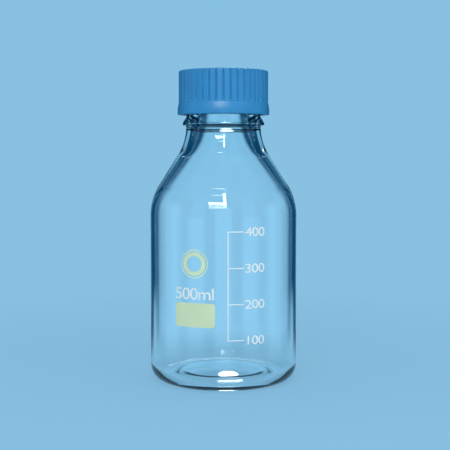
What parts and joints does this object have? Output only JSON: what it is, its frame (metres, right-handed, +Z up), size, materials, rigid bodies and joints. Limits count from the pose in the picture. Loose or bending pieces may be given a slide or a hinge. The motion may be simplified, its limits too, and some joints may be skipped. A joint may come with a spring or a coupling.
{
  "type": "reagent bottle",
  "caption": "Clear glass screw-neck bottle with a long sloping shoulder, a pressed-on pouring ring and a ribbed screw cap, for storing and pouring laboratory liquids.",
  "frame": {"origin": "centre of the base, on the surface the bottle stands on", "axes": "+Z up the bottle's axis, -Y towards the printed side, +X to the right when the print is read"},
  "size_m": [0.086, 0.0864, 0.181],
  "materials": {
    "borosilicate_glass": "clear, smooth, faint green-blue tint at the edges",
    "ring_plastic": "blue moulded polypropylene, smooth",
    "liner": "off-white silicone, matte",
    "cap_plastic": "blue moulded polypropylene, satin, fine moulding texture",
    "white_enamel": "white fired enamel, matte",
    "cream_enamel": "cream fired enamel, matte, made to be written on"
  },
  "bodies": {
    "bottle": {"glass_bottle": "borosilicate_glass", "pouring_ring": "ring_plastic", "graduation_scale": "white_enamel", "writing_panel": "cream_enamel", "printed_roundel": "cream_enamel"},
    "seal": {"seal_liner": "liner"},
    "cap": {"screw_cap": "cap_plastic"}
  },
  "joints": [
    {"name": "cap_lift", "type": "slide", "parent": "bottle", "child": "seal", "axis": [0, 0, 1], "range_m": [0, 0.028]},
    {"name": "cap_turn", "type": "hinge", "parent": "seal", "child": "cap", "pos_m": [0, 0, 0.1554], "axis": [0, 0, 1], "range_deg": [0, 2520]}
  ],
  "couplings": [
    {"joint": "cap_lift", "follows": "cap_turn", "m_per_rad": 0.0006366}
  ]
}
